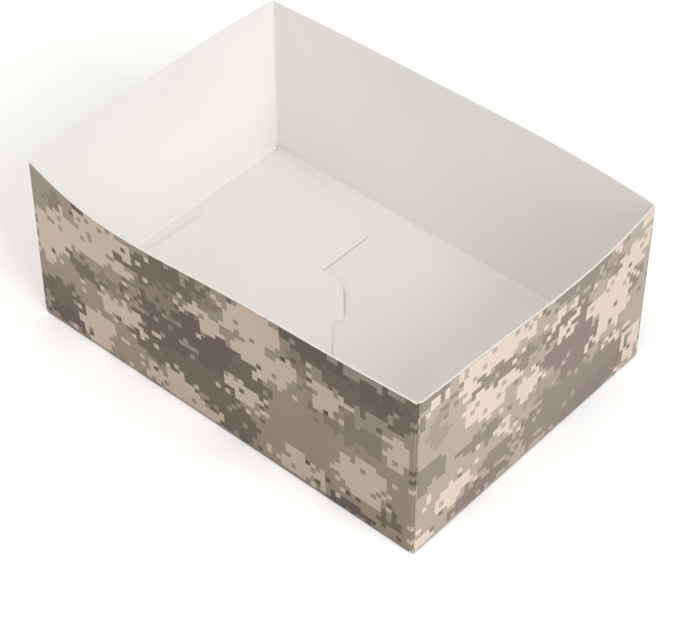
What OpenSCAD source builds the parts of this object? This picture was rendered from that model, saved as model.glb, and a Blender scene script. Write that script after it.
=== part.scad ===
// Open tray of printed board, cut, folded and glued from one sheet.
// The four walls bow outward towards the rim and meet in rounded folds. The bottom locks by
// itself: two long flaps hook into each other, and two short flaps lie between them.
// X runs along the length, Y across the width, and the tray stands on Z = 0 at its middle.

/* [Tray] */
// Length outside, at the folds of the base
tray_l = 254; // [200:1:320]
// Width outside, at the folds of the base
tray_w = 181; // [150:1:230]
// Height of the rim above the table
tray_h = 103; // [60:1:160]

/* [Board] */
// Thickness of the board
board_t = 0.9; // [0.5:0.1:1.2]
// Inside radius of every fold
fold_r = 1; // [0.6:0.1:1.6]
// Air between flaps that lie on each other
lay_gap = 0.15; // [0.1:0.05:0.3]
// Length of the slot that parts two flaps at a corner of the base
corner_slot = 0.6; // [0.4:0.1:1.5]

/* [Bow of the walls] */
// Bow of the front wall at the rim
front_bow = 7.6; // [0:0.1:12]
// Shift of that bow, plus towards the seam and minus away from it
front_lean = -3; // [-3:0.1:3]
// Extra fullness near both ends of the front wall
front_full = 1.3; // [0:0.1:2]
// Bow of the left wall at the rim
left_bow = 2.8; // [0:0.1:12]
// Shift of that bow, plus towards the front
left_lean = 0.1; // [-3:0.1:3]
// Extra fullness near both ends of the left wall
left_full = 0.7; // [0:0.1:2]
// Bow of the back wall at the rim
back_bow = 4; // [0:0.1:12]
// Shift of that bow, plus towards the left
back_lean = -0.9; // [-3:0.1:3]
// Extra fullness near both ends of the back wall
back_full = 0.5; // [0:0.1:2]
// Bow of the right wall at the rim
right_bow = 4; // [0:0.1:12]
// Shift of that bow, plus towards the back
right_lean = 1; // [-3:0.1:3]
// Extra fullness near both ends of the right wall
right_full = 0.1; // [0:0.1:2]

/* [Long flaps] */
// Reach of a long flap past the middle line, beside its hook
lap_reach = 28.5; // [22:0.5:34]
// Reach of the same flap past the middle line, beside the short wall
lap_side = 20; // [16:0.5:30]
// Gap between the low half of a long flap and the middle line
low_back = 16; // [14:0.5:20]
// Lean of the long flap's side edge beside its hooked half
hook_side_in = 9; // [6:0.5:20]
// Lean of the long flap's side edge beside its low half
low_side_in = 9.5; // [8:0.5:20]
// Distance of the hook's shoulder from the middle, along the tray
shoulder_x = 27; // [22:0.5:32]
// Slope of the hook's long edge
hook_a = 48.6; // [44:0.2:54]
// Length of that edge
edge_l = 28; // [24:0.5:32]
// Slope of the short edge between it and the shoulder
brow_a = 44.3; // [36:0.1:48]
// Length of that short edge
brow_l = 8.6; // [6:0.2:10]
// Width of the hook behind its tip
throat_l = 10.6; // [8:0.2:13]
// Reach of the hook's tip past the middle, along the tray
tip_x = 4.5; // [3:0.1:6]
// Reach of the hook's tip past the middle, across the tray
tip_y = 1; // [0.5:0.1:2]
// Slit between the hook and the other long flap's low half
slit = 0.4; // [0.3:0.05:0.8]
// Rounding of the flap's outer corners
long_round = 3; // [1:0.5:4]

/* [Short flaps] */
// Distance from the middle to the end edge of a short flap
short_end = 37; // [34:0.5:50]
// Length of the flap's glued corner that is cut off
glue_cut = 25; // [10:1:35]
// Lean of the glued side edge at the end of the flap
glue_side_in = 10; // [8:0.5:18]
// Lean of the free side edge half way along the flap
free_side_in = 8; // [4:0.5:14]
// Lean of the free side edge at the end of the flap
free_end_in = 23; // [14:0.5:34]
// Rounding of the two corners beside the glued side edge
glue_round = 2.5; // [1:0.5:4]
// Rounding of the corner at the free side
free_round = 1; // [0.5:0.5:4]

/* [Glued seam] */
// Width of the glue tab inside the front wall
tab_w = 22; // [12:1:35]
// Slant of the glue tab's top and bottom edges
tab_slant = 9; // [4:0.5:16]
// Distance of the tab from the rim and from the fold of the base, at its root
tab_end = 1; // [0.5:0.1:3]
// Thickness of the glue line
glue_t = 0.15; // [0.1:0.05:0.2]
// Distance of the front wall's cut edge past the start of the corner fold
seam_past = 0.4; // [0:0.1:1]

/* [Hidden] */

// Outside and middle radius of a fold, and the step from one layer of board to the next
out_r = fold_r + board_t;
mid_r = fold_r + board_t / 2;
layer = board_t + lay_gap;

// Half lengths of the straight part of a long and of a short wall, and their middle planes
half_x = tray_l / 2 - out_r;
half_y = tray_w / 2 - out_r;
plane_x = tray_l / 2 - board_t / 2;
plane_y = tray_w / 2 - board_t / 2;

// The right wall's end gives way to the front wall, whose cut edge overlaps its fold
seam_in = board_t + glue_t;

// Counts of rows down the wall, round a fold, near the fold, up to a flap's middle and beyond
wall_n = 3;
fold_n = 4;
near_n = 3;
body_n = 2;
end_n = 7;
rows = wall_n + fold_n + near_n + body_n + end_n;

// Counts of columns round a corner fold, along the glue tab and round a corner of a flap
corner_n = 4;
tab_n = 3;
round_n = 3;

// Distance from a fold within which a flap settles to its own level
settle = 9;

// Rows between which a short flap climbs from under one long flap to over the other
climb_from = 4 - low_back;
climb_to = low_back - 1;

// Length over which a long flap comes down past the end of a short flap
step_l = 24;

// Band in which the long flaps change places: where its two sides cross the middle line, its
// half width away from the hooks, and the rows between which it widens on each flap
band_left = -24.5;
band_right = -11;
band_wide = 33;
front_band = [5, -30];
back_band = [20, 48];

// Corners of a long flap's hook, seen on the front flap. Its long edge slopes by hook_a.
tip = [tip_x, -tip_y];
edge_dir = [cos(hook_a), -sin(hook_a)];
edge_top = tip - edge_l * edge_dir;
brow = edge_top + brow_l * [-cos(brow_a), sin(brow_a)];
shoulder = [-shoulder_x, lap_reach];
notch = throat_l * edge_dir - tip - slit * [sin(hook_a), cos(hook_a)];
relief = notch + (low_back + notch[1]) / sin(hook_a) * edge_dir;

function clamp(v, lo, hi) = min(hi, max(lo, v));
function mix(a, b, k) = a + (b - a) * k;
function ease(v, a, b) = let (k = clamp((v - a) / (b - a), 0, 1)) k * k * (3 - 2 * k);

// Outward bow at the rim, at the share k of a wall's length
function bow(k, full, lean, ends) = full * sin(180 * k) + lean * sin(360 * k) + ends * sin(540 * k);
function front_out(x) = bow(0.5 - x / (2 * half_x), front_bow, front_lean, front_full);
function left_out(y) = bow(0.5 + y / (2 * half_y), left_bow, left_lean, left_full);
function back_out(x) = bow(0.5 + x / (2 * half_x), back_bow, back_lean, back_full);
function right_out(y) = bow(0.5 - y / (2 * half_y), right_bow, right_lean, right_full);

// Level of a short flap, counted in layers. Each fold rises by one layer along its wall.
function short_level(x, y) = let (on_fold = 0.5 + y / (2 * half_y), inside = ease(y, climb_from, climb_to))
    mix(on_fold, inside, ease(x + half_x, 0, settle));

// Lift of a long flap where it lies over a short one
function over_short(x, y) = short_level(x, y) * (1 - ease(x, -short_end, step_l - short_end));

// Share by which the long flaps have changed places, from left to right
function band(x, y, span) = let (k = clamp((span[0] - y) / (span[0] - span[1]), 0, 1))
    ease(x, mix(y + band_left, -band_wide, k), mix(y + band_right, band_wide, k));

// Level of each long flap, counted in layers
function front_level(x, y) = let (on_fold = 0.5 - x / (2 * half_x), k = ease(y + half_y, 0, settle))
    mix(on_fold, 1 - band(x, y, front_band), k) + over_short(x, y) * k;
function back_level(x, y) = let (on_fold = 0.5 + x / (2 * half_x), k = ease(half_y - y, 0, settle))
    mix(on_fold, band(x, y, back_band), k) + over_short(-x, -y) * k;

// Knots of a long flap, from its low side to its hooked side, as seen on the front flap: columns
// up to the next knot, place on the fold, on the middle line and on the outline, and rounding
mid_y = -30;
low_lean = low_side_in * (mid_y + half_y) / (half_y - low_back);
hook_lean = hook_side_in * (mid_y + half_y) / (half_y + lap_side);
side_x = half_x - corner_slot;
long_knots = [
    [9, side_x, [side_x - low_lean, mid_y], [side_x - low_side_in, -low_back], long_round],
    [1, 0, [-2, mid_y], relief, 0],
    [1, -7, [-9, mid_y], notch, 0],
    [6, -12, [-15, mid_y], tip, 0],
    [1, -25, [-24, mid_y], edge_top, 0],
    [1, -30, [-29, mid_y], brow, 0],
    [9, -36, [-35, mid_y], shoulder, long_round],
    [0, -side_x, [hook_lean - side_x, mid_y], [hook_side_in - side_x, lap_side], long_round]];

// Knots of a short flap, from its glued side to its free side, as seen on the left flap.
// A side edge reaches the share mid_k of its lean on the middle line.
mid_x = -(half_x + short_end) / 2;
mid_k = 0.8;
cut_y = glue_side_in + glue_cut - half_y;
cut_mid_y = glue_side_in + mid_k * glue_cut - half_y;
free_y = half_y - corner_slot - seam_in;
short_knots = [
    [3, corner_slot - half_y, [mid_x, mid_k * glue_side_in - half_y],
        [-short_end - glue_cut, glue_side_in - half_y], glue_round],
    [3, cut_mid_y, [mid_x, cut_mid_y], [-short_end, cut_y], glue_round],
    [7, climb_from - 1, [mid_x, climb_from - 1], [-short_end, climb_from - 1], 0],
    [6, climb_to + 1, [mid_x, climb_to + 1], [-short_end, climb_to + 1], 0],
    [0, free_y, [mid_x, half_y - free_side_in], [-short_end, half_y - free_end_in], free_round]];

// A corner of a flap is rounded by a curve that leaves one edge and meets the next one at the
// same distance from the corner. The first and the last corner turn into a side edge.
function between(a, b, k) = [0, mix(a[1], b[1], k), mix(a[2], b[2], k), mix(a[3], b[3], k)];
function neighbour(knots, i, step) = i + step < 0 || i + step == len(knots)
    ? [0, knots[i][1], knots[i][2], knots[i][2]] : knots[i + step];
function leave(knots, i, step) = let (a = knots[i], b = neighbour(knots, i, step))
    between(a, b, min(0.5, a[4] / norm(b[3] - a[3])));
function rounded(knots, i) = let (a = leave(knots, i, -1), b = leave(knots, i, 1))
    knots[i][4] == 0 ? [knots[i]]
    : [for (k = [0 : round_n]) let (t = k / round_n)
        between(between(a, knots[i], t), between(knots[i], b, t), t)];

// Columns of a flap: each corner, and even steps to the next one
function columns(knots) = [
    for (i = [0 : len(knots) - 1]) each concat(
        rounded(knots, i),
        [for (j = [1 : 1 : knots[i][0] - 1])
            between(leave(knots, i, 1), leave(knots, i + 1, -1), j / knots[i][0])])];

// A column of the sheet: wall point, outward direction, bow at the rim, top and bottom of the
// wall, and for a hinged column its places on the fold, the middle line and the outline.
// The last entry tells the flap apart: 0 is none.
function plain(p, out, b, top, low) = [p, out, b, top, low, [0, 0], [0, 0], [0, 0], 0];
function turned(p) = [-p[0], -p[1]];

front_cols = concat(
    [plain([half_x + seam_past, -plane_y], [0, -1], 0, tray_h, out_r)],
    [for (c = columns(long_knots)) [[c[1], -plane_y], [0, -1], front_out(c[1]), tray_h,
        out_r + layer * front_level(c[1], -half_y), [c[1], -half_y], c[2], c[3], 1]],
    [plain([-half_x, -plane_y], [0, -1], 0, tray_h, out_r + layer)]);
left_cols = concat(
    [plain([-plane_x, -half_y], [-1, 0], 0, tray_h, out_r)],
    [for (c = columns(short_knots)) [[-plane_x, c[1]], [-1, 0], left_out(c[1]), tray_h,
        out_r + layer * short_level(-half_x, c[1]), [-half_x, c[1]], c[2], c[3], 2]],
    [plain([-plane_x, half_y], [-1, 0], 0, tray_h, out_r + layer)]);
back_cols = concat(
    [plain([-half_x, plane_y], [0, 1], 0, tray_h, out_r)],
    [for (c = columns(long_knots)) [[-c[1], plane_y], [0, 1], back_out(-c[1]), tray_h,
        out_r + layer * back_level(-c[1], half_y), [-c[1], half_y], turned(c[2]), turned(c[3]), 3]],
    [plain([half_x, plane_y], [0, 1], 0, tray_h, out_r + layer)]);
right_cols = concat(
    [plain([plane_x, half_y], [1, 0], 0, tray_h, out_r)],
    [for (c = columns(short_knots)) [[plane_x, -c[1]], [1, 0], right_out(-c[1]), tray_h,
        out_r + layer * short_level(-half_x, c[1]), [half_x, -c[1]], turned(c[2]), turned(c[3]), 4]],
    [plain([plane_x, seam_in - half_y], [1, 0], 0, tray_h, out_r + layer)]);

// Columns inside a corner fold, turning from the direction at angle a by a quarter turn
function corner(centre, a, low_a, low_b) = [
    for (k = [1 : corner_n - 1]) let (t = k / corner_n, d = [cos(a - 90 * t), sin(a - 90 * t)])
        plain(centre + mid_r * d, d, 0, tray_h, mix(low_a, low_b, t))];

// The glue tab follows the inside of the front wall
front_curve = [for (c = front_cols) [c[0][0], c[2]]];
tab_low = out_r + layer + tab_end;
function tab_col(k) = let (x = half_x - tab_w * k)
    plain([x, seam_in - plane_y], [0, -1], lookup(x, front_curve),
        tray_h - tab_end - tab_slant * k, tab_low + tab_slant * k);

cols = concat(
    front_cols, corner([-half_x, -half_y], 270, out_r + layer, out_r),
    left_cols, corner([-half_x, half_y], 180, out_r + layer, out_r),
    back_cols, corner([half_x, half_y], 90, out_r + layer, out_r),
    right_cols, corner([half_x, seam_in - half_y], 0, out_r + layer, tab_low),
    [for (k = [0 : tab_n]) tab_col(k / tab_n)]);

function level(flap, p) = flap == 1 ? front_level(p[0], p[1])
    : flap == 2 ? short_level(p[0], p[1])
    : flap == 3 ? back_level(p[0], p[1])
    : short_level(-p[0], -p[1]);

// Plan place of a flap's point: near the fold, up to the middle line, and on to the outline
function flap_place(c, j) = let (dir = (c[6] - c[5]) / norm(c[6] - c[5]), edge = c[5] + settle * dir)
    j <= near_n ? mix(c[5], edge, j / near_n)
    : j <= near_n + body_n ? mix(edge, c[6], (j - near_n) / body_n)
    : mix(c[6], c[7], (j - near_n - body_n) / end_n);

// Middle of the board and its outward direction at row j of a column
function wall_mid(c, j) = let (z = mix(c[3], c[4], j / wall_n), p = c[0] + c[2] * z / tray_h * c[1])
    [p[0], p[1], z];
function fold_mid(c, j) = let (a = 90 * (j - wall_n) / fold_n, p = c[0] - mid_r * (1 - cos(a)) * c[1])
    [p[0], p[1], c[4] - mid_r * sin(a)];
function flap_mid(c, j) = let (p = flap_place(c, j - wall_n - fold_n))
    [p[0], p[1], layer * level(c[8], p) + board_t / 2];
function mid_point(c, j) = j <= wall_n ? wall_mid(c, j)
    : c[8] == 0 ? wall_mid(c, wall_n)
    : j <= wall_n + fold_n ? fold_mid(c, j) : flap_mid(c, j);
function outward(c, j) = let (a = 90 * clamp((j - wall_n) / fold_n, 0, 1))
    [c[1][0] * cos(a), c[1][1] * cos(a), -sin(a)];
function face_point(c, j, side) = mid_point(c, j) + side * board_t / 2 * outward(c, j);

// The sheet: the points of its outer face and then of its inner face
count = len(cols);
face_n = count * (rows + 1);
points = [for (side = [1, -1]) for (c = cols) for (j = [0 : rows]) face_point(c, j, side)];

// Cells of the grid that hold board, and the faces round them, with a cut edge at each free side
function cell(i, j) = i >= 0 && i < count - 1 && j >= 0 && j < rows
    && (j < wall_n || (cols[i][8] > 0 && cols[i][8] == cols[i + 1][8]));
function quad(a, b, c, d) = [[a, b, c], [a, c, d]];
function cut_edge(a, b) = quad(a, b, b + face_n, a + face_n);
cells = [for (i = [0 : count - 2]) for (j = [0 : rows - 1]) if (cell(i, j)) [i, j]];
faces = [for (q = cells)
    let (i = q[0], j = q[1], a = i * (rows + 1) + j, b = a + 1, c = b + rows + 1, d = c - 1)
    each concat(
        quad(a, b, c, d),
        quad(a + face_n, d + face_n, c + face_n, b + face_n),
        cell(i, j - 1) ? [] : cut_edge(a, d),
        cell(i, j + 1) ? [] : cut_edge(c, b),
        cell(i - 1, j) ? [] : cut_edge(b, a),
        cell(i + 1, j) ? [] : cut_edge(d, c))];

module tray() {
    color("tan")
        polyhedron(points = points, faces = faces, convexity = 8);
}

tray();
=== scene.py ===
import bpy
import numpy as np
from mathutils import Matrix, Vector


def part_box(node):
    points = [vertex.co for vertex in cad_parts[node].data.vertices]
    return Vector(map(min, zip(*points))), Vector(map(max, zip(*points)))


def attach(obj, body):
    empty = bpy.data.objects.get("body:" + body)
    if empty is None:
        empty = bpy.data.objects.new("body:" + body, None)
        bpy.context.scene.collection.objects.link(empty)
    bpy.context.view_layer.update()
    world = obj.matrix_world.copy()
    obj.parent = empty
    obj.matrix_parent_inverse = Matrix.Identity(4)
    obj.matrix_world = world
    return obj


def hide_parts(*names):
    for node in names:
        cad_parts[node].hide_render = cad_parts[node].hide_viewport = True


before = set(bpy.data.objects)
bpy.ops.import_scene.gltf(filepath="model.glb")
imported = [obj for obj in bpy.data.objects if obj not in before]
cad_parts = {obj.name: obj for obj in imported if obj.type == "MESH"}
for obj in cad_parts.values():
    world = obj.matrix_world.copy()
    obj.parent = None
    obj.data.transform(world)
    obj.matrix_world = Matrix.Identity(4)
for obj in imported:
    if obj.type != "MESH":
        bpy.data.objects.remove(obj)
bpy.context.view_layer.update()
print("frame loaded")

metresPerMm = 0.001

# Camera, on the circle round the tray that the photograph was taken from
cameraPlace = {
    "azimuth": 41.22,  # degrees round the tray from its long front wall
    "elevation": 43.68,
    "roll": 0.18,
    "distance": 1.130,
    "aim": (0.0236, -0.0263, 0.0513),
    "lens": 120.6,
    "sensor": 36.0,
}


def addCamera(place):
    azimuth, elevation, roll = np.radians([place["azimuth"], place["elevation"], place["roll"]])
    level = np.cos(elevation)
    back = Vector((np.sin(azimuth) * level, -np.cos(azimuth) * level, np.sin(elevation)))
    side = Vector((np.cos(azimuth), np.sin(azimuth), 0))
    above = back.cross(side)
    right = np.cos(roll) * side + np.sin(roll) * above
    up = np.cos(roll) * above - np.sin(roll) * side
    data = bpy.data.cameras.new("photoView")
    data.sensor_fit = "HORIZONTAL"
    data.sensor_width = place["sensor"]
    data.lens = place["lens"]
    camera = bpy.data.objects.new("photoView", data)
    turn = Matrix((right, up, back)).transposed().to_4x4()
    camera.matrix_world = Matrix.Translation(Vector(place["aim"]) + place["distance"] * back) @ turn
    bpy.context.scene.collection.objects.link(camera)
    bpy.context.scene.camera = camera


addCamera(cameraPlace)
print("camera placed")

# The board sheet, in millimetres. Its outline, bows and flaps are those of the node "tray".
sheet = {
    "board": 0.9,
    "foldRadius": 1.0,  # inside radius of every fold
    "layGap": 0.15,  # air between flaps that lie on each other
    "cornerSlot": 0.6,
    "cornerDrop": 1.7,  # an upright fold ends this far below the walls beside it, over the corner gap
    # bow at the rim, lean of the bow and fullness near the ends, for each wall
    "frontBow": (7.6, -3.0, 1.3),
    "leftBow": (2.8, 0.1, 0.7),
    "backBow": (4.0, -0.9, 0.5),
    "rightBow": (4.0, 1.0, 0.1),
    "lapReach": 28.5,
    "lapSide": 20.0,
    "lowBack": 16.0,
    "hookSideIn": 9.0,
    "lowSideIn": 9.5,
    "shoulderX": 27.0,
    "hookAngle": 48.6,
    "edgeLength": 28.0,
    "browAngle": 44.3,
    "browLength": 8.6,
    "throatLength": 10.6,
    "pastCrossing": 1.3,  # one more outline point beyond the crossing, in throat lengths
    "tipX": 4.5,
    "tipY": 1.0,
    "tuck": 0.7,  # how far the other flap reaches below a hook's long edge
    "shortEnd": 37.0,
    "glueCut": 25.0,
    "glueSideIn": 10.0,
    "freeSideIn": 8.0,
    "freeEndIn": 23.0,
    "tabWidth": 22.0,
    "tabSlant": 9.0,
    "tabEnd": 1.0,
    "glueLine": 0.15,
    "seamPast": 0.4,
    # where the columns to a long flap's inner corners leave the fold and cross the flap's middle
    "foldX": (0, -7, -12, -17, -18.4, -25, -30, -36),
    "middleX": (-2, -9, -15, -18.4, -19.4, -24, -29, -35),
    "middleY": -30.0,
    "glueMiddle": 0.8,  # share of a glued corner's slant that is reached at the short flap's middle
    "climbFrom": 3.0,  # first climbing column of a short flap, inwards from the long flap's reach
    "climbIn": (4.0, 1.0),  # the climb itself begins and ends this far inside that reach
    # the band over which two long flaps swap levels: its edges at the narrow end, as x less y, half
    # its width at the wide end, and the y of both ends on the front and on the back flap
    "swapEdges": (-24.5, -11.0),
    "swapHalf": 33.0,
    "frontSwap": (5, -30),
    "backSwap": (20, 48),
    "swapShift": 15.0,  # the front flap's band moves right by this, over the next range of y
    "shiftRange": (-16, -2),
    "hookRangeX": (-30, -20),  # the front flap's dive at the hook fades in over these ranges
    "hookRangeY": (-20, -14),
    "settle": 9.0,  # distance from a fold within which a flap settles to its level
    "stepLength": 24.0,  # a long flap comes down over this length past a short flap
    "dive": (0.1, 1.4),  # where a hook dives under the other flap's throat edge, from that edge
    "bead": 0.1,  # height of the ridge that a crease raises on the inside
    "beadGroove": 0.25,
    "grooveAt": 0.8,  # the groove's middle above the fold, and its width
    "grooveWidth": 0.5,
    "frontLift": (0.7, 0.85),  # rise of a hook's long edge, where it crosses and at its top
    "backLift": (0.2, 1.1),
    "liftRange": (7, 24),  # from where it crosses to its top, in y
    "liftWidth": 9.0,
    "liftThroat": (0.2, 1.4),  # it begins this far beyond the throat edge
    "liftX": (-60, -40),
    "swell": 0.45,  # rise of the other flap a few millimetres beyond that edge
    "swellBeyond": (0.3, 4.5),  # from that edge, then its width, and where it starts and ends along it
    "swellWidth": 14.0,
    "swellStart": (1, 7),
    "swellEnd": (22, 36),
    "sideLift": 0.3,  # rise of a long flap's side edge beside the short wall
    "sideRange": (6, 30),  # distance from the fold over which it comes in
    "sideWidth": 7.0,
    "shortLift": 0.15,
    "shortRange": (20, 40),
    "shortWidth": 6.0,
    "longRound": 3.0,  # rounding of the flaps' corners
    "glueRound": 2.5,
    "freeRound": 1.0,
    # relief, notch, tip, crossing, the point past it, edge top, brow
    "hookRound": (1.2, 0.5, 0.4, 0, 0, 0.8, 1.0),
    # grid: columns between the corners of a long and of a short flap, points on a rounded corner, on
    # an upright fold and on the tab, and rows down the wall, round its fold and along a flap
    "longCounts": (30, 5, 12, 20, 6, 9, 5, 4, 24),
    "shortCounts": (10, 10, 16, 20),
    "roundPoints": 7,
    "cornerPoints": 9,
    "tabPoints": 9,
    "wallPoints": 27,
    "lowRows": (2.4, 1.6, 1.0, 0.5, 0),  # the wall's last rows, in millimetres above its fold
    "foldPoints": 9,
    "flapPoints": (8, 6, 21),  # to the settled level, to the flap's middle, to its edge
    "crowding": 1.7,  # draws the last rows towards the edge
    "bowSamples": 2001,  # places at which a wall's highest bow is looked for
    "tiny": 1e-9,  # stands in for a length of nothing, where a length divides
    "sharpAngle": 40.0,  # degrees between faces from which an edge is shaded as sharp
}


def mix(a, b, k):
    return a + (b - a) * k


def ease(v, a, b):
    # smooth step: 3k squared less 2k cubed, where k runs from 0 at a to 1 at b
    k = np.clip((v - a) / (b - a), 0, 1)
    return k * k * (3 - 2 * k)


def bowAt(k, bow):
    # bow sin(pi k) + lean sin(2 pi k) + fullness sin(3 pi k), over the share k of the wall
    return bow[0] * np.sin(np.pi * k) + bow[1] * np.sin(2 * np.pi * k) + bow[2] * np.sin(3 * np.pi * k)


# The frame gives the size of the base: the box less the highest bow of each wall
shares = np.linspace(0, 1, sheet["bowSamples"])
boxHigh = np.array(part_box("tray")[1]) / metresPerMm
baseX = boxHigh[0] - bowAt(shares, sheet["rightBow"]).max()
baseY = boxHigh[1] - bowAt(shares, sheet["backBow"]).max()
rimZ = boxHigh[2]
board = sheet["board"]
outerRadius = sheet["foldRadius"] + board
middleRadius = sheet["foldRadius"] + board / 2
layer = board + sheet["layGap"]
halfX, halfY = baseX - outerRadius, baseY - outerRadius
planeX, planeY = baseX - board / 2, baseY - board / 2
seamIn = board + sheet["glueLine"]
print("base half sizes", baseX, baseY, "rim", rimZ)


def shortLevel(x, y):
    # layers under a short flap: half along its fold, then 0 to 1 across its climbing rows
    onFold = 0.5 + y / (2 * halfY)
    climbStart, climbEnd = sheet["climbIn"]
    inside = ease(y, climbStart - sheet["lowBack"], sheet["lowBack"] - climbEnd)
    return mix(onFold, inside, ease(x + halfX, 0, sheet["settle"]))


def overShort(x, y):
    # lift of a long flap over a short one, fading past the short flap's end
    return shortLevel(x, y) * (1 - ease(x, -sheet["shortEnd"], sheet["stepLength"] - sheet["shortEnd"]))


def swapBand(x, y, span):
    # 0 on the left and 1 on the right of a slanting band that widens from span[0] to span[1]
    k = np.clip((span[0] - y) / (span[0] - span[1]), 0, 1)
    low, high = sheet["swapEdges"]
    return ease(x, mix(y + low, -sheet["swapHalf"], k), mix(y + high, sheet["swapHalf"], k))


def hookPlace(x, y):
    # distance back from the hook's tip along its long edge, and distance inwards from that edge
    angle = np.radians(sheet["hookAngle"])
    dx, dy = x - sheet["tipX"], y + sheet["tipY"]
    return dy * np.sin(angle) - dx * np.cos(angle), -dx * np.sin(angle) - dy * np.cos(angle)


def pastThroat(x, y):
    # distance beyond the other flap's throat edge, which runs from its notch to its tip
    back, inwards = hookPlace(x, y)
    tipBack, tipInwards = hookPlace(-sheet["tipX"], sheet["tipY"])
    return back - mix(sheet["throatLength"], tipBack, inwards / tipInwards), inwards - tipInwards


def frontLevel(x, y):
    # layers under the front flap: half along its fold, then 1 on the left of the band and 0 on its
    # right. Beside the hooks it stays on top up to the throat, then its tip dives by one layer.
    k = ease(y + halfY, 0, sheet["settle"])
    shift = sheet["swapShift"] * ease(y, *sheet["shiftRange"])
    onTop = 1 - swapBand(x - shift, y, sheet["frontSwap"])
    clear = ease(np.maximum(*pastThroat(x, y)), *sheet["dive"])
    nearHook = ease(y, *sheet["hookRangeY"]) * ease(x, *sheet["hookRangeX"])
    onTop = onTop * mix(1, clear, nearHook)
    return mix(0.5 - x / (2 * halfX), onTop, k) + overShort(x, y) * k


def backLevel(x, y):
    # the same for the back flap, which is below on the left of its band and on top on its right
    k = ease(halfY - y, 0, sheet["settle"])
    onTop = swapBand(x, y, sheet["backSwap"])
    return mix(0.5 + x / (2 * halfX), onTop, k) + overShort(-x, -y) * k


levelOf = {
    1: frontLevel,
    2: shortLevel,
    3: backLevel,
    4: lambda x, y: shortLevel(-x, -y),
}


def flapCorners(kind):
    # rows of [fold place, middle x, middle y, outline x, outline y], the count of columns between
    # them and the rounding of each
    if kind == "long":
        angle, brow = np.radians(sheet["hookAngle"]), np.radians(sheet["browAngle"])
        along = np.array([np.cos(angle), -np.sin(angle)])
        tip = np.array([sheet["tipX"], -sheet["tipY"]])
        edgeTop = tip - sheet["edgeLength"] * along
        browTop = edgeTop + sheet["browLength"] * np.array([-np.cos(brow), np.sin(brow)])
        throat = sheet["throatLength"] * along
        notch = throat - tip + sheet["tuck"] * np.array([np.sin(angle), np.cos(angle)])
        relief = notch + (sheet["lowBack"] + notch[1]) / np.sin(angle) * along
        midY = sheet["middleY"]
        sideX = halfX - sheet["cornerSlot"]
        lowLean = sheet["lowSideIn"] * (midY + halfY) / (halfY - sheet["lowBack"])
        hookLean = sheet["hookSideIn"] * (midY + halfY) / (halfY + sheet["lapSide"])
        foldX = [sideX, *sheet["foldX"], -sideX]
        middleX = [sideX - lowLean, *sheet["middleX"], hookLean - sideX]
        outline = [
            [sideX - sheet["lowSideIn"], -sheet["lowBack"]],
            relief, notch, tip, tip - throat, tip - sheet["pastCrossing"] * throat, edgeTop, browTop,
            [-sheet["shoulderX"], sheet["lapReach"]],
            [sheet["hookSideIn"] - sideX, sheet["lapSide"]]]
        corners = [[onFold, middle, midY, *end] for onFold, middle, end in zip(foldX, middleX, outline)]
        counts = sheet["longCounts"]
        rounding = [sheet["longRound"], *sheet["hookRound"], sheet["longRound"], sheet["longRound"]]
    else:
        midX = -(halfX + sheet["shortEnd"]) / 2
        cutY = sheet["glueSideIn"] + sheet["glueCut"] - halfY
        cutMidY = sheet["glueSideIn"] + sheet["glueMiddle"] * sheet["glueCut"] - halfY
        low, high = sheet["climbFrom"] - sheet["lowBack"], sheet["lowBack"]
        end = -sheet["shortEnd"]
        corners = [
            [sheet["cornerSlot"] - halfY, midX, sheet["glueMiddle"] * sheet["glueSideIn"] - halfY,
             end - sheet["glueCut"], sheet["glueSideIn"] - halfY],
            [cutMidY, midX, cutMidY, end, cutY],
            [low, midX, low, end, low],
            [high, midX, high, end, high],
            [halfY - sheet["cornerSlot"] - seamIn, midX, halfY - sheet["freeSideIn"],
             end, halfY - sheet["freeEndIn"]],
        ]
        counts = sheet["shortCounts"]
        rounding = [sheet["glueRound"], sheet["glueRound"], 0, 0, sheet["freeRound"]]
    return np.array(corners, float), counts, rounding


def flapColumns(kind):
    # straight stretches between the corners, and a quadratic curve round each rounded corner:
    # (1-t)^2 start + 2t(1-t) corner + t^2 end
    corners, counts, rounding = flapCorners(kind)
    toMiddle = corners[:, [0, 1, 2, 1, 2]]
    last = len(corners) - 1
    starts, ends, arcs = [], [], []
    for i, corner in enumerate(corners):
        before = corners[i - 1] if i > 0 else toMiddle[0]
        after = corners[i + 1] if i < last else toMiddle[last]
        start = mix(corner, before, rounding[i] / np.linalg.norm((before - corner)[3:]))
        end = mix(corner, after, rounding[i] / np.linalg.norm((after - corner)[3:]))
        t = np.linspace(0, 1, sheet["roundPoints"])[:, None] if rounding[i] else np.zeros((1, 1))
        arcs.append((1 - t) ** 2 * start + 2 * t * (1 - t) * corner + t ** 2 * end)
        starts.append(start)
        ends.append(end)
    parts = [arcs[0]]
    for i, count in enumerate(counts):
        t = np.linspace(0, 1, count + 1)[1:-1, None]
        parts += [mix(ends[i], starts[i + 1], t), arcs[i + 1]]
    return np.concatenate(parts)


# Rows of the sheet, from the rim down the wall, round the base fold and along the flap
evenRows = np.linspace(0, 1, sheet["wallPoints"])[:-1]
wallRows = np.concatenate([evenRows, 1 - np.array(sheet["lowRows"]) / rimZ])
foldRows = np.radians(np.linspace(0, 90, sheet["foldPoints"])[1:])
nearRows, bodyRows, endRows = (np.linspace(0, 1, points)[1:] for points in sheet["flapPoints"])
endRows = 1 - (1 - endRows) ** sheet["crowding"]
wallCount = len(wallRows)
flapStart = wallCount + len(foldRows)
rowCount = flapStart + len(nearRows) + len(bodyRows) + len(endRows)


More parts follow.
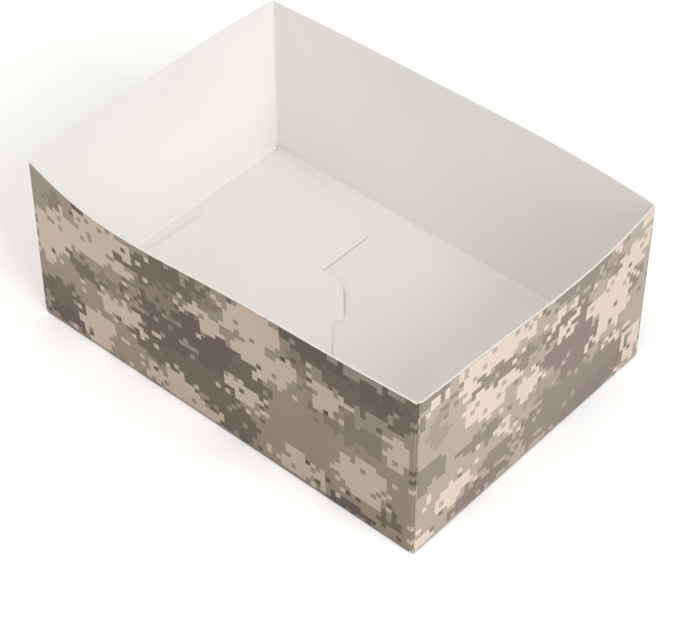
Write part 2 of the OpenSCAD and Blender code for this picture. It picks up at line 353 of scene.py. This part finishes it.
def plainColumns(place, out, rimBow, low, top):
    # columns of wall with no flap below them
    n = len(place)
    return {
        "place": place, "out": np.broadcast_to(out, (n, 2)), "rimBow": np.broadcast_to(rimBow, n),
        "low": np.broadcast_to(low, n), "top": np.broadcast_to(top, n),
        "hinge": place, "middle": place, "outline": place, "flap": np.zeros(n, int),
    }


def hingedColumns(kind, flap, turn):
    # turn is 1 for the front and left walls, and -1 for the same walls turned half round
    columns = flapColumns(kind)
    along = columns[:, 0]
    n = len(columns)
    if kind == "long":
        place = np.stack([along, np.full(n, -planeY)], 1)
        hinge = np.stack([along, np.full(n, -halfY)], 1)
        out = np.array([0.0, -1.0])
        bow = sheet["frontBow"] if turn > 0 else sheet["backBow"]
        rimBow = bowAt(0.5 - along / (2 * halfX), bow)
    else:
        place = np.stack([np.full(n, -planeX), along], 1)
        hinge = np.stack([np.full(n, -halfX), along], 1)
        out = np.array([-1.0, 0.0])
        bow = sheet["leftBow"] if turn > 0 else sheet["rightBow"]
        rimBow = bowAt(0.5 + along / (2 * halfY), bow)
    level = levelOf[flap](turn * hinge[:, 0], turn * hinge[:, 1])
    return {
        "place": turn * place, "out": np.broadcast_to(turn * out, (n, 2)), "rimBow": rimBow,
        "low": outerRadius + layer * level, "top": np.full(n, rimZ),
        "hinge": turn * hinge, "middle": turn * columns[:, 1:3], "outline": turn * columns[:, 3:5],
        "flap": np.full(n, flap),
    }


def onePlain(x, y, out, low):
    return plainColumns(np.array([[x, y]], float), out, 0.0, low, rimZ)


def cornerColumns(x, y, startAngle, lowStart, lowEnd):
    # a quarter turn about the fold's axis: centre + radius (cos a, sin a), a falling by 90 degrees.
    # Its lower end: start to end height, less drop times the square root of sin(pi t).
    t = np.linspace(0, 1, sheet["cornerPoints"])[1:-1]
    angle = np.radians(startAngle - 90 * t)
    out = np.stack([np.cos(angle), np.sin(angle)], 1)
    low = mix(lowStart, lowEnd, t) - sheet["cornerDrop"] * np.sqrt(np.sin(np.pi * t))
    block = plainColumns(np.array([x, y]) + middleRadius * out, out, 0.0, low, rimZ)
    block["inFold"] = np.sin(np.pi * t) ** 2
    return block


def joined(blocks):
    for block in blocks:
        block.setdefault("inFold", np.zeros(len(block["place"])))
    return {key: np.concatenate([block[key] for block in blocks]) for key in blocks[0]}


def sheetColumns():
    # the columns of the sheet, from the seam along the front wall, round the tray and to the tab
    front = joined([
        onePlain(halfX + sheet["seamPast"], -planeY, (0, -1), outerRadius),
        hingedColumns("long", 1, 1),
        onePlain(-halfX, -planeY, (0, -1), outerRadius + layer)])
    left = joined([
        onePlain(-planeX, -halfY, (-1, 0), outerRadius),
        hingedColumns("short", 2, 1),
        onePlain(-planeX, halfY, (-1, 0), outerRadius + layer)])
    back = joined([
        onePlain(-halfX, planeY, (0, 1), outerRadius),
        hingedColumns("long", 3, -1),
        onePlain(halfX, planeY, (0, 1), outerRadius + layer)])
    right = joined([
        onePlain(planeX, halfY, (1, 0), outerRadius),
        hingedColumns("short", 4, -1),
        onePlain(planeX, seamIn - halfY, (1, 0), outerRadius + layer)])
    tabShare = np.linspace(0, 1, sheet["tabPoints"])
    tabX = halfX - sheet["tabWidth"] * tabShare
    tabPlace = np.stack([tabX, np.full_like(tabX, seamIn - planeY)], 1)
    tabLow = outerRadius + layer + sheet["tabEnd"]
    slant = sheet["tabSlant"] * tabShare
    order = np.argsort(front["place"][:, 0])
    tabBow = np.interp(tabX, front["place"][order, 0], front["rimBow"][order])
    tabTop = rimZ - sheet["tabEnd"] - slant
    tab = plainColumns(tabPlace, (0, -1), tabBow, tabLow + slant, tabTop)
    return joined([
        front, cornerColumns(-halfX, -halfY, 270, outerRadius + layer, outerRadius),
        left, cornerColumns(-halfX, halfY, 180, outerRadius + layer, outerRadius),
        back, cornerColumns(halfX, halfY, 90, outerRadius + layer, outerRadius),
        right, cornerColumns(halfX, seamIn - halfY, 0, outerRadius + layer, tabLow), tab])


def sheetSurface(columns):
    # middle surface and outward direction of each grid point.
    # Wall: place + bow z / height outwards. Fold: a quarter circle under it. Flap: fold place to
    # middle to outline, at its level times the layer step.
    place, out = columns["place"][:, None, :], columns["out"][:, None, :]
    low, top, rimBow = (columns[key][:, None] for key in ("low", "top", "rimBow"))
    wallZ = mix(top, low, wallRows[None, :])
    wall = place + (rimBow * wallZ / rimZ)[..., None] * out
    foldPlan = place - (middleRadius * (1 - np.cos(foldRows)))[None, :, None] * out
    foldZ = low - middleRadius * np.sin(foldRows)[None, :]
    hinge, middle, outline = (columns[key][:, None, :] for key in ("hinge", "middle", "outline"))
    reach = middle - hinge
    heading = reach / np.maximum(np.linalg.norm(reach, axis=2, keepdims=True), sheet["tiny"])
    edge = hinge + sheet["settle"] * heading
    flapPlan = np.concatenate([
        mix(hinge, edge, nearRows[None, :, None]),
        mix(edge, middle, bodyRows[None, :, None]),
        mix(middle, outline, endRows[None, :, None])], axis=1)
    level = np.zeros(flapPlan.shape[:2])
    for flap, levelAt in levelOf.items():
        own = columns["flap"] == flap
        level[own] = levelAt(flapPlan[own, :, 0], flapPlan[own, :, 1])
    flapZ = layer * level + board / 2 + edgeLift(columns["flap"], flapPlan)
    plan = np.concatenate([wall, foldPlan, flapPlan], axis=1)
    height = np.concatenate([wallZ, foldZ, flapZ], axis=1)
    middlePoints = np.concatenate([plan, height[..., None]], axis=2)
    turn = np.concatenate([np.zeros(wallCount), foldRows, np.full(flapZ.shape[1], np.pi / 2)])
    across = np.cos(turn)[None, :, None] * out
    down = np.broadcast_to(-np.sin(turn)[None, :, None], across.shape[:2] + (1,))
    outward = np.concatenate([across, down], axis=2)
    return middlePoints, outward


def edgeLift(flap, plan):
    # rise of the free edges that lie on top: lift times e^-(distance from the edge / width)^2. The
    # other flap's swell rises beyond a hook's edge in the same way. The highest of them counts.
    fromEdge = np.linalg.norm(plan - plan[:, -1:, :], axis=2)
    rise = np.zeros(plan.shape[:2])
    for number, turn, lifts in ((1, 1, sheet["frontLift"]), (3, -1, sheet["backLift"])):
        own = flap == number
        x, y = turn * plan[own, :, 0], turn * plan[own, :, 1]
        hooked = mix(*lifts, ease(y, *sheet["liftRange"]))
        hooked = hooked * np.exp(-(fromEdge[own] / sheet["liftWidth"]) ** 2)
        hooked = hooked * ease(pastThroat(x, y)[0], *sheet["liftThroat"]) * ease(x, *sheet["liftX"])
        beside = sheet["sideLift"] * np.exp(-((x - x[-1:, :]) / sheet["sideWidth"]) ** 2)
        beside = beside * ease(y + halfY, *sheet["sideRange"])
        back, inwards = hookPlace(-x, -y)
        swell = sheet["swell"] * ease(-inwards, *sheet["swellBeyond"])
        swell = swell * np.exp(-(inwards / sheet["swellWidth"]) ** 2)
        swell = swell * ease(back, *sheet["swellStart"]) * (1 - ease(back, *sheet["swellEnd"]))
        rise[own] = np.maximum(np.maximum(hooked, beside), swell)
    for number, turn in ((2, 1), (4, -1)):
        own = flap == number
        end = ease(turn * plan[own, :, 1], *sheet["shortRange"])
        rise[own] = sheet["shortLift"] * np.exp(-(fromEdge[own] / sheet["shortWidth"]) ** 2) * end
    return rise


def creaseBead(columns):
    # a ridge over each fold, sin^2 of twice the fold's angle, with a shallow groove beside it: on the
    # wall e^-(distance from its middle / width)^2, on the flap one row
    ridge = np.zeros(rowCount)
    ridge[wallCount:flapStart] = np.sin(2 * foldRows) ** 2
    aboveFold = (1 - wallRows) * rimZ
    groove = np.zeros(rowCount)
    groove[:wallCount] = np.exp(-((aboveFold - sheet["grooveAt"]) / sheet["grooveWidth"]) ** 2)
    groove[flapStart] = 1.0
    rows = sheet["bead"] * ridge - sheet["beadGroove"] * groove
    hinged = columns["flap"][:, None] > 0
    upright = sheet["bead"] * columns["inFold"][:, None]
    return np.where(hinged, rows[None, :], upright)


def blankPlace(columns, middlePoints):
    # place on the flat sheet: u runs from the front left corner to the right along the outside,
    # v is the height on a wall and goes on below zero along a flap
    x, y, z = (middlePoints[..., axis] for axis in range(3))
    out = columns["out"]
    length, width = 2 * baseX, 2 * baseY
    onShort = np.abs(out[:, 0]) > np.abs(out[:, 1])
    shortSide = np.where(out[:, 0] > 0, "right", "left")
    side = np.where(onShort, shortSide, np.where(out[:, 1] > 0, "back", "front"))
    u = np.zeros_like(x)
    u = np.where((side == "front")[:, None], x + baseX, u)
    u = np.where((side == "right")[:, None], length + y + baseY, u)
    u = np.where((side == "back")[:, None], length + width + baseX - x, u)
    u = np.where((side == "left")[:, None], -baseY - y, u)
    fromFold = {"front": y + halfY, "right": halfX - x, "back": halfY - y, "left": x + halfX}
    v = z.copy()
    v[:, wallCount:flapStart] = columns["low"][:, None] - middleRadius * foldRows[None, :]
    foldEnd = (columns["low"] - middleRadius * np.pi / 2)[:, None]
    for name, distance in fromFold.items():
        own = side == name
        v[own, flapStart:] = (foldEnd - distance[:, flapStart:])[own]
    return np.stack([u, v], -1)


def makeSheet():
    # outer surface: middle + board / 2 outwards; inner: middle - (board / 2 + bead) outwards. Faces
    # of the outer surface, of the inner one, and cut edges wherever a grid square has no neighbour.
    columns = sheetColumns()
    middlePoints, outward = sheetSurface(columns)
    bead = creaseBead(columns)[..., None]
    outer = middlePoints + board / 2 * outward
    inner = middlePoints - (board / 2 + bead) * outward
    blank = blankPlace(columns, middlePoints)
    count, rows = outer.shape[:2]
    flap = columns["flap"]
    hinged = (flap[:-1] > 0) & (flap[:-1] == flap[1:])
    filled = np.ones((count - 1, rows - 1), bool)
    filled[:, wallCount - 1:] = hinged[:, None]
    framed = np.pad(filled, 1)
    index = np.arange(count * rows).reshape(count, rows)
    a, b, c, d = index[:-1, :-1], index[:-1, 1:], index[1:, 1:], index[1:, :-1]
    inside = count * rows
    gaps = {
        "above": (~framed[1:-1, :-2], a, d),
        "below": (~framed[1:-1, 2:], c, b),
        "before": (~framed[:-2, 1:-1], b, a),
        "after": (~framed[2:, 1:-1], d, c),
    }
    faces = [np.stack([d, c, b, a], -1)[filled], inside + np.stack([a, b, c, d], -1)[filled]]
    slots = [np.zeros(len(faces[0]), int), np.ones(len(faces[1]), int)]
    for side, (missing, p, q) in gaps.items():
        own = filled & missing
        cut = np.stack([p + inside, q + inside, q, p], -1)[own]
        faces.append(cut)
        # the cut edge at the seam is inked like the wall
        atSeam = (np.nonzero(own)[0] == 0) & (side == "before")
        slots.append(np.where(atSeam, 0, 2))
    faces, slots = np.concatenate(faces), np.concatenate(slots)
    used, flat = np.unique(faces, return_inverse=True)
    points = np.concatenate([outer.reshape(-1, 3), inner.reshape(-1, 3)])[used] * metresPerMm
    places = np.tile(blank.reshape(-1, 2), (2, 1))[used] * metresPerMm
    mesh = bpy.data.meshes.new("traySheet")
    mesh.from_pydata(points.tolist(), [], flat.reshape(-1, 4).tolist())
    mesh.polygons.foreach_set("material_index", slots.astype(np.int32))
    corners = np.zeros(len(mesh.loops), np.int32)
    mesh.loops.foreach_get("vertex_index", corners)
    blankMap = mesh.uv_layers.new(name="blank")
    blankMap.uv.foreach_set("vector", places[corners].astype(np.float32).ravel())
    mesh.polygons.foreach_set("use_smooth", np.ones(len(mesh.polygons), bool))
    mesh.set_sharp_from_angle(angle=np.radians(sheet["sharpAngle"]))
    mesh.update()
    tray = bpy.data.objects.new("traySheet", mesh)
    bpy.context.scene.collection.objects.link(tray)
    return tray


traySheet = makeSheet()
print("sheet built:", len(traySheet.data.vertices), "points", len(traySheet.data.polygons), "faces")


def newMaterial(name):
    material = bpy.data.materials.new(name)
    material.use_nodes = True
    material.node_tree.nodes.clear()
    return material


def addNode(tree, kind, inputs=(), **settings):
    # inputs are values or sockets, in order or by the names of the node's sockets
    node = tree.nodes.new("ShaderNode" + kind)
    for key, value in settings.items():
        setattr(node, key, value)
    for socket, value in inputs.items() if isinstance(inputs, dict) else enumerate(inputs):
        if isinstance(value, bpy.types.NodeSocket):
            tree.links.new(value, node.inputs[socket])
        elif value is not None:
            node.inputs[socket].default_value = value
    return node


def addMath(tree, operation, *values):
    return addNode(tree, "Math", values, operation=operation).outputs[0]


def addBlend(tree, share, first, second):
    return addNode(tree, "Mix", {0: share, 6: first, 7: second}, data_type="RGBA").outputs[2]


def addNoise(tree, place, scale, detail):
    return addNode(tree, "TexNoise", {"Vector": place, "Scale": scale, "Detail": detail}).outputs[0]


reliefDepth = 0.2 * metresPerMm  # of every surface's fine grain


def addBoard(tree, colour, height, settings):
    # a board surface with fine relief
    relief = {"Strength": settings["relief"], "Distance": reliefDepth, "Height": height}
    bump = addNode(tree, "Bump", relief)
    look = {"Base Color": colour, "Roughness": settings["roughness"], "Normal": bump.outputs[0]}
    surface = addNode(tree, "BsdfPrincipled", look)
    addNode(tree, "OutputMaterial", [surface.outputs[0]])


# The print: on a sage ground darker sage, olive, plum and tan patches and a few specks, all in square
# cells. Places and sizes in millimetres on the flat sheet: (u, v, half width, half height, tilt in
# degrees). A later ink covers an earlier one.
printing = {
    "cell": 3.2,
    "repeat": 435.0,  # the art repeats once round half of the tray
    "tan": (0.76, 0.635, 0.545, 1),
    "sage": (0.41, 0.355, 0.29, 1),  # near the rim
    "lowSage": (0.42, 0.342, 0.268, 1),  # near the base
    "sageRange": (20.0, 90.0, 0.0, 1.0),  # heights between which one turns into the other
    "darkSage": (0.31, 0.255, 0.2, 1),
    "olive": (0.2, 0.167, 0.13, 1),
    "plum": (0.172, 0.128, 0.112, 1),
    "speck": (0.165, 0.12, 0.085, 1),
    "specks": 0.025,  # share of the tan cells that are specks
    "paintedShadeAlong": (30.0, 200.0, 1.02, 0.82),  # painted shade: the inks darken along a long wall, between these places
    "shortWalls": 254.0,  # the short walls begin here; on them the inks are dimmed and lifted by a painted sheen that pales the dark inks
    "shortSheenScale": 0.89,
    "shortSheenLift": (0.12, 0.106, 0.099),
    # the ragged edge: noise and reach of its soft part, reach of each cell's own part, and share and
    # reach of the kicks. Every ink takes its chances from another place in the noise.
    "softNoise": (0.12, 1.0),  # scale and detail, here and in every noise below
    "softReach": 16.0,
    "ownReach": 3.0,
    "diceSides": 37.0,
    "kickShare": 0.07,
    "kickReach": 6.5,
    "noisePlaces": (20, 40, 90, 150, 7),  # dark sage, olive, plum, tan, specks
    "noiseStep": (1, 1.7, 0.3),
    "blotchNoise": (0.022, 1.0),  # the blotches on the underside: noise, level and reach
    "blotchLevel": 0.53,
    "blotchReach": 120.0,
    "blotchPlace": 3,
    "cloud": (0.3, 0.7, 0.94, 1.05),  # slow change of all inks
    "cloudNoise": (14.0, 2.0),
    "grain": (1600.0, 3.0),
    "relief": 0.12,
    "roughness": 0.5,
    "sagePatches": [
        (96, 76, 20, 13, 0), (124, 90, 12, 7, 0), (216, 60, 20, 9, 0), (186, 84, 9, 12, 0),
        (62, 60, 12, 5, 0), (20, 88, 8, 5, 0), (266, 76, 7, 9, 0), (344, 82, 8, 7, 0),
        (356, 44, 20, 6, 0), (412, 58, 11, 8, 0), (388, 92, 12, 6, 0), (400, 30, 16, 6, 0)],
    "olivePatches": [
        (96, 92, 22, 11, 0), (122, 96, 10, 6, 0), (150, 53, 14, 17, 0), (112, 32, 38, 15, 0),
        (15, 22, 20, 11, 0), (42, 57, 15, 6, -10), (71, 84, 6, 8, 0), (218, 88, 26, 9, -10),
        (138, 14, 20, 12, 0), (300, 83, 16, 5, -8), (326, 77, 8, 8, 0), (272, 96, 8, 5, 0),
        (374, 98, 20, 6, 0), (362, 24, 28, 15, 0), (400, 20, 24, 17, 0), (382, 8, 40, 8, 0),
        (403, 87, 6, 6, 0), (258, 101, 12, 3, 0), (250, 92, 10, 12, 0), (421, 66, 8, 9, 0),
        (263, 50, 10, 9, 0), (300, 45, 15, 8, -10), (318, 22, 12, 8, 0), (236, 14, 9, 7, 0)],
    "plumPatches": [
        (96, 50, 18, 12, 0), (124, 60, 17, 15, 0), (113, 68, 9, 8, 0), (88, 62, 9, 6, 0),
        (18, 10, 14, 7, 0), (44, 99, 6, 4, 0),
        (190, 98, 20, 6, 0), (232, 93, 11, 8, 0), (368, 62, 20, 12, -14), (374, 50, 19, 12, 0),
        (352, 78, 10, 6, 0), (370, 79, 10, 8, 0), (390, 54, 8, 8, 0), (348, 62, 6, 5, 0),
        (391, 9, 15, 6, 0), (414, 14, 9, 5, 0), (300, 9, 18, 6, 0), (212, 6, 14, 6, 0)],
    "tanPatches": [
        (58, 93, 17, 11, 0), (35, 78, 26, 11, 8), (13, 66, 12, 16, 0), (13, 50, 11, 7, 0),
        (76, 92, 7, 6, 0), (68, 77, 7, 5, 0), (64, 43, 14, 6, 0), (77, 37, 5, 6, 0),
        (43, 14, 11, 15, 0), (50, 24, 7, 6, 0), (100, 8, 25, 9, 0), (103, 17, 9, 6, 0),
        (122, 6, 10, 5, 0), (121, 82, 8, 5, 0), (129, 73, 7, 7, 0), (156, 91, 17, 13, 0),
        (161, 71, 19, 10, 0), (177, 76, 8, 7, 0), (146, 39, 11, 6, 0), (202, 71, 10, 9, 0),
        (222, 30, 16, 13, 0), (184, 12, 14, 8, 0), (242, 60, 8, 12, 0),
        (312, 95, 24, 8, 0), (306, 68, 19, 10, 0), (290, 86, 7, 7, 0), (267, 94, 6, 3, 0),
        (335, 55, 8, 7, 0), (354, 88, 7, 5, 0), (361, 75, 5, 5, 0), (383, 70, 5, 4, -30),
        (403, 63, 14, 18, 0), (420, 82, 14, 11, 0), (395, 48, 9, 4, 0), (409, 33, 7, 2, 0),
        (426, 18, 8, 11, 0), (427, 99, 8, 4, 0), (400, 99, 7, 3, 0), (282, 24, 15, 9, 0),
        (322, 36, 8, 4, 0), (258, 8, 7, 6, 0)],
}


def printedSide(settings):
    # every cell takes one ink. A patch inks the cells where the smaller half size times
    # (1 - distance from its middle in half sizes), plus the ragged edge's noise, is above zero.
    material = newMaterial("printedSide")
    tree = material.node_tree
    blank = addNode(tree, "UVMap", uv_map="blank").outputs[0]
    toMm = {0: blank, "Scale": 1 / metresPerMm}
    inMm = addNode(tree, "VectorMath", toMm, operation="SCALE").outputs[0]
    split = addNode(tree, "SeparateXYZ", [inMm])
    cell = settings["cell"]

    def snapped(value):
        steps = addMath(tree, "FLOOR", addMath(tree, "DIVIDE", value, cell))
        return addMath(tree, "MULTIPLY", addMath(tree, "ADD", steps, 0.5), cell)

    u, v = snapped(split.outputs[0]), snapped(split.outputs[1])
    spot = addNode(tree, "CombineXYZ", [u, v, 0.0]).outputs[0]
    wrapped = addMath(tree, "WRAP", u, settings["repeat"], 0.0)
    art = addNode(tree, "CombineXYZ", [wrapped, v, 0.0]).outputs[0]
    below = addMath(tree, "LESS_THAN", v, 0.0)

    def moved(shift):
        step = tuple(shift * part for part in settings["noiseStep"])
        return addNode(tree, "VectorMath", [spot, step], operation="ADD").outputs[0]

    def ragged(shift):
        # in millimetres: a soft part three cells wide, a part of each cell's own, and rare kicks
        soft = addNoise(tree, moved(shift), *settings["softNoise"])
        soft = addMath(tree, "MULTIPLY", addMath(tree, "SUBTRACT", soft, 0.5), settings["softReach"])
        own = addNode(tree, "TexWhiteNoise", [moved(shift)]).outputs[0]
        single = addMath(tree, "MULTIPLY", addMath(tree, "SUBTRACT", own, 0.5), settings["ownReach"])
        dice = addMath(tree, "FRACT", addMath(tree, "MULTIPLY", own, settings["diceSides"]))
        upwards = addMath(tree, "GREATER_THAN", dice, 1 - settings["kickShare"])
        downwards = addMath(tree, "LESS_THAN", dice, settings["kickShare"])
        kick = addMath(tree, "MULTIPLY", addMath(tree, "SUBTRACT", upwards, downwards), settings["kickReach"])
        return addMath(tree, "ADD", addMath(tree, "ADD", soft, single), kick)

    def patches(places, shift):
        field = None
        for placeU, placeV, halfU, halfV, tilt in places:
            # upright patches go without a Mapping node, for too many of those overfill a shader
            if tilt:
                fit = [art, (placeU, placeV, 0), (0, 0, np.radians(tilt)), (halfU, halfV, 1)]
                local = addNode(tree, "Mapping", fit, vector_type="TEXTURE").outputs[0]
            else:
                fit = [art, (1 / halfU, 1 / halfV, 0), (-placeU / halfU, -placeV / halfV, 0)]
                local = addNode(tree, "VectorMath", fit, operation="MULTIPLY_ADD").outputs[0]
            away = addNode(tree, "VectorMath", [local], operation="LENGTH").outputs["Value"]
            half = min(halfU, halfV)
            inside = addMath(tree, "MULTIPLY_ADD", away, -half, half)
            field = inside if field is None else addMath(tree, "MAXIMUM", field, inside)
        # on the flaps, below the folds, the art goes on as plain blotches
        blotch = addNoise(tree, moved(settings["blotchPlace"] * shift), *settings["blotchNoise"])
        blotch = addMath(tree, "SUBTRACT", blotch, settings["blotchLevel"])
        blotch = addMath(tree, "MULTIPLY", blotch, settings["blotchReach"])
        field = addNode(tree, "Mix", [below, None, field, blotch]).outputs[0]
        return addMath(tree, "GREATER_THAN", addMath(tree, "ADD", field, ragged(shift)), 0.0)

    height = addNode(tree, "MapRange", [v, *settings["sageRange"]]).outputs[0]
    colour = addBlend(tree, height, settings["lowSage"], settings["sage"])
    inks = {"darkSage": "sagePatches", "olive": "olivePatches", "plum": "plumPatches", "tan": "tanPatches"}
    for (ink, places), shift in zip(inks.items(), settings["noisePlaces"]):
        share = patches(settings[places], shift)
        colour = addBlend(tree, share, colour, settings[ink])
    lone = addNode(tree, "TexWhiteNoise", [moved(settings["noisePlaces"][-1])]).outputs[0]
    onTan = addMath(tree, "MULTIPLY", addMath(tree, "LESS_THAN", lone, settings["specks"]), share)
    colour = addBlend(tree, onTan, colour, settings["speck"])

    place = addNode(tree, "TexCoord").outputs["Object"]
    cloud = addNoise(tree, place, *settings["cloudNoise"])
    cloud = addNode(tree, "MapRange", [cloud, *settings["cloud"]]).outputs[0]
    # painted sheen: on the short walls the inks are scaled down, then lifted below
    short = addMath(tree, "GREATER_THAN", wrapped, settings["shortWalls"])
    # painted shade: the inks darken along each long wall, from 30 to 200 mm along the sheet
    along = addNode(tree, "MapRange", [wrapped, *settings["paintedShadeAlong"]]).outputs[0]
    tone = addNode(tree, "Mix", [short, None, along, settings["shortSheenScale"]]).outputs[0]
    tone = addMath(tree, "MULTIPLY", cloud, tone)
    colour = addNode(tree, "VectorMath", {0: colour, "Scale": tone}, operation="SCALE").outputs[0]
    # painted sheen: a constant lift of the inks on the short walls, which pales the dark inks
    shortSheenLift = [short, settings["shortSheenLift"], colour]
    colour = addNode(tree, "VectorMath", shortSheenLift, operation="MULTIPLY_ADD").outputs[0]
    addBoard(tree, colour, addNoise(tree, place, *settings["grain"]), settings)
    return material


# Plain coated board on the inside
coating = {
    "colour": (0.922, 0.913, 0.888, 1),
    "dark": (0.907, 0.898, 0.873, 1),
    "cloud": (0.35, 0.65, 0.0, 1.0),
    "cloudNoise": (22.0, 4.0),
    "grain": (900.0, 4.0),
    "relief": 0.1,
    "roughness": 0.55,
}


def coatedSide(settings):
    # two near whites mixed by a slow noise
    material = newMaterial("coatedSide")
    tree = material.node_tree
    place = addNode(tree, "TexCoord").outputs["Object"]
    cloud = addNoise(tree, place, *settings["cloudNoise"])
    share = addNode(tree, "MapRange", [cloud, *settings["cloud"]]).outputs[0]
    colour = addBlend(tree, share, settings["dark"], settings["colour"])
    addBoard(tree, colour, addNoise(tree, place, *settings["grain"]), settings)
    return material


# Raw die-cut edge
rawEdge = {
    "colour": (0.95, 0.94, 0.91, 1),
    "fibre": (0.9, 0.885, 0.85, 1),
    "fibres": (0.4, 0.7, 0.0, 1.0),
    "grain": (2500.0, 3.0),
    "relief": 0.3,
    "roughness": 0.85,
}


def cutSide(settings):
    # pale fibres on white, fine enough to show only close up
    material = newMaterial("cutSide")
    tree = material.node_tree
    fibre = addNoise(tree, addNode(tree, "TexCoord").outputs["Object"], *settings["grain"])
    share = addNode(tree, "MapRange", [fibre, *settings["fibres"]]).outputs[0]
    addBoard(tree, addBlend(tree, share, settings["colour"], settings["fibre"]), fibre, settings)
    return material


for material in (printedSide(printing), coatedSide(coating), cutSide(rawEdge)):
    traySheet.data.materials.append(material)
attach(traySheet, "root")
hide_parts("tray")
print("print and coating applied")

# Studio: a white floor, an even sky, a large soft lamp beyond the right wall and a weak warm one
# beyond the left wall
studio = {
    "floorSize": 6.0,  # sizes and places here are in metres
    "floorDrop": 0.0001,
    "floorColour": (0.75, 0.74, 0.72, 1),
    "seenColour": (1.32, 1.34, 1.37, 1),  # for the camera alone, so that the floor looks white
    "belowColour": (0.68, 0.66, 0.62, 1),  # under the tray, where its corner gaps show the floor
    "inset": 0.0006,  # from the tray's outline to where that colour begins
    "skyColour": (1, 0.975, 0.925, 1),
    "skyStrength": 0.54,
    "seenSky": (1, 1, 1, 1),  # for the camera alone
    "seenStrength": 1.0,
    "lamps": {  # place, size, power and colour
        "softLamp": ((1.56, -0.27, 1.02), 1.2, 18.7, (0.97, 0.985, 1)),
        "fillLamp": ((-0.9, -0.5, 1.25), 1.0, 4.4, (1, 0.95, 0.89)),
    },
}


def addStudio(settings):
    half = settings["floorSize"] / 2
    mesh = bpy.data.meshes.new("studioFloor")
    drop = -settings["floorDrop"]
    corners = [(-half, -half, drop), (half, -half, drop), (half, half, drop), (-half, half, drop)]
    mesh.from_pydata(corners, [], [(0, 1, 2, 3)])
    floor = bpy.data.objects.new("studioFloor", mesh)
    bpy.context.scene.collection.objects.link(floor)
    material = newMaterial("studioFloor")
    tree = material.node_tree
    place = addNode(tree, "TexCoord").outputs["Object"]
    spread = addNode(tree, "VectorMath", [place], operation="ABSOLUTE").outputs[0]
    footprint = (baseX * metresPerMm - settings["inset"], baseY * metresPerMm - settings["inset"], 0)
    past = addNode(tree, "VectorMath", [spread, footprint], operation="SUBTRACT").outputs[0]
    split = addNode(tree, "SeparateXYZ", [past])
    furthest = addMath(tree, "MAXIMUM", split.outputs[0], split.outputs[1])
    outside = addMath(tree, "GREATER_THAN", furthest, 0.0)
    white = addBlend(tree, outside, settings["belowColour"], settings["seenColour"])
    seen = addNode(tree, "LightPath").outputs["Is Camera Ray"]
    diffuse = addNode(tree, "BsdfDiffuse", [addBlend(tree, seen, settings["floorColour"], white)])
    addNode(tree, "OutputMaterial", [diffuse.outputs[0]])
    mesh.materials.append(material)

    world = bpy.data.worlds.new("studioSky")
    world.use_nodes = True
    tree = world.node_tree
    tree.nodes.clear()
    even = addNode(tree, "Background", [settings["skyColour"], settings["skyStrength"]])
    plain = addNode(tree, "Background", [settings["seenSky"], settings["seenStrength"]])
    seen = addNode(tree, "LightPath").outputs["Is Camera Ray"]
    either = addNode(tree, "MixShader", [seen, even.outputs[0], plain.outputs[0]])
    addNode(tree, "OutputWorld", [either.outputs[0]])
    bpy.context.scene.world = world

    for name, (place, size, power, colour) in settings["lamps"].items():
        light = bpy.data.lights.new(name, "AREA")
        light.size = size
        light.energy = power
        light.color = colour
        lamp = bpy.data.objects.new(name, light)
        lamp.location = place
        lamp.rotation_euler = (-Vector(place)).to_track_quat("-Z", "Y").to_euler()
        bpy.context.scene.collection.objects.link(lamp)


addStudio(studio)
bpy.context.scene.view_settings.view_transform = "Standard"
print("studio lit")
